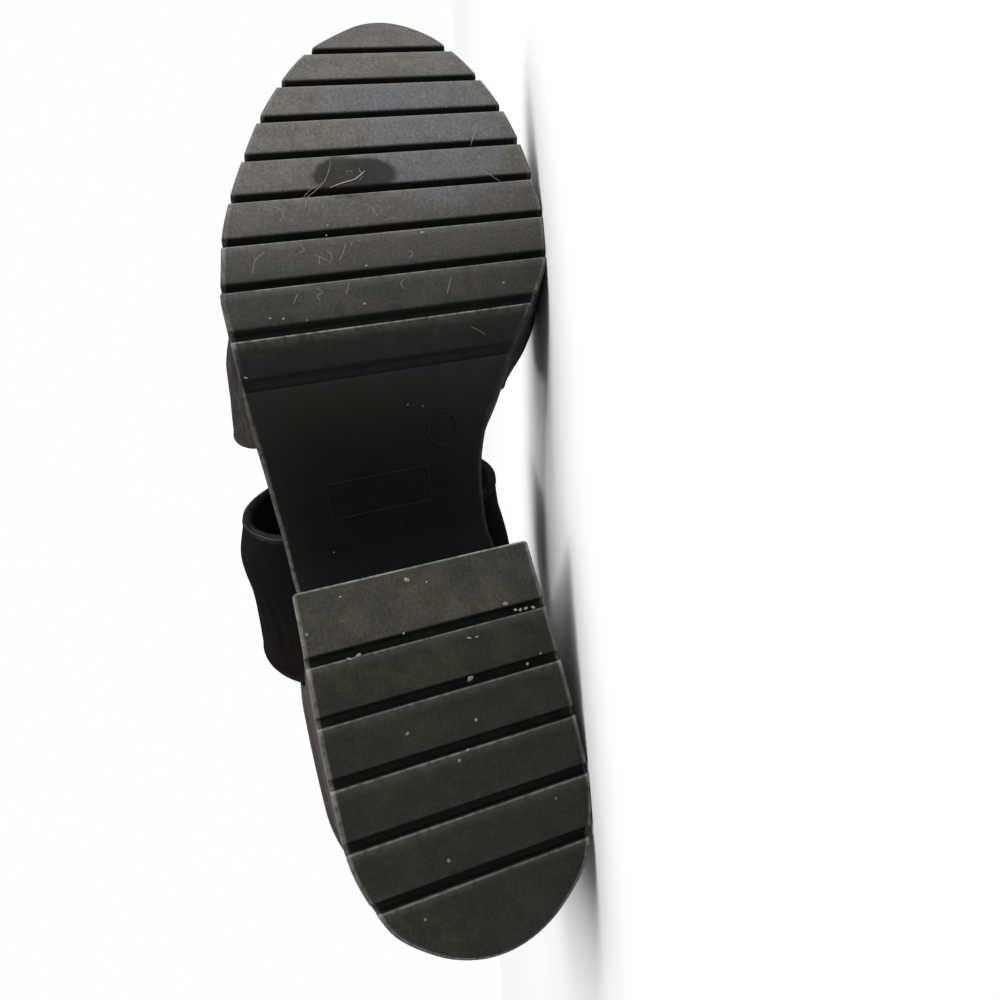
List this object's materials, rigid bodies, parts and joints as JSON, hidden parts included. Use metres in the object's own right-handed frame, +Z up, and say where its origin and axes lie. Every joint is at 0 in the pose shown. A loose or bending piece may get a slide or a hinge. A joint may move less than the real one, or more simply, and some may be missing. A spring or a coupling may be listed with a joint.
{
  "type": "platform sandal",
  "caption": "Right-foot platform sandal with a block heel, ribbed moulded sole, wide toe and instep straps and a closed heel, lying on its inner side.",
  "frame": {"origin": "middle of the bounding box's footprint, on the floor that the sandal lies on", "axes": "+Z up from the floor, towards the sandal's outer side; +X along the sandal towards the toe; +Y from the tread towards the straps"},
  "size_m": [0.263, 0.1336, 0.1054],
  "materials": {
    "sole_rubber": "worn satin black rubber, dusty on the tread",
    "insole_leather": "matt black lining leather",
    "vamp_leather": "soft satin black leather",
    "band_suede": "matt black suede cloth",
    "counter_leather": "glossy black leather with a brown sheen"
  },
  "bodies": {
    "root": {"unit_sole": "sole_rubber", "insole": "insole_leather", "vamp_band": "vamp_leather", "instep_band": "band_suede", "heel_counter": "counter_leather"}
  },
  "joints": []
}
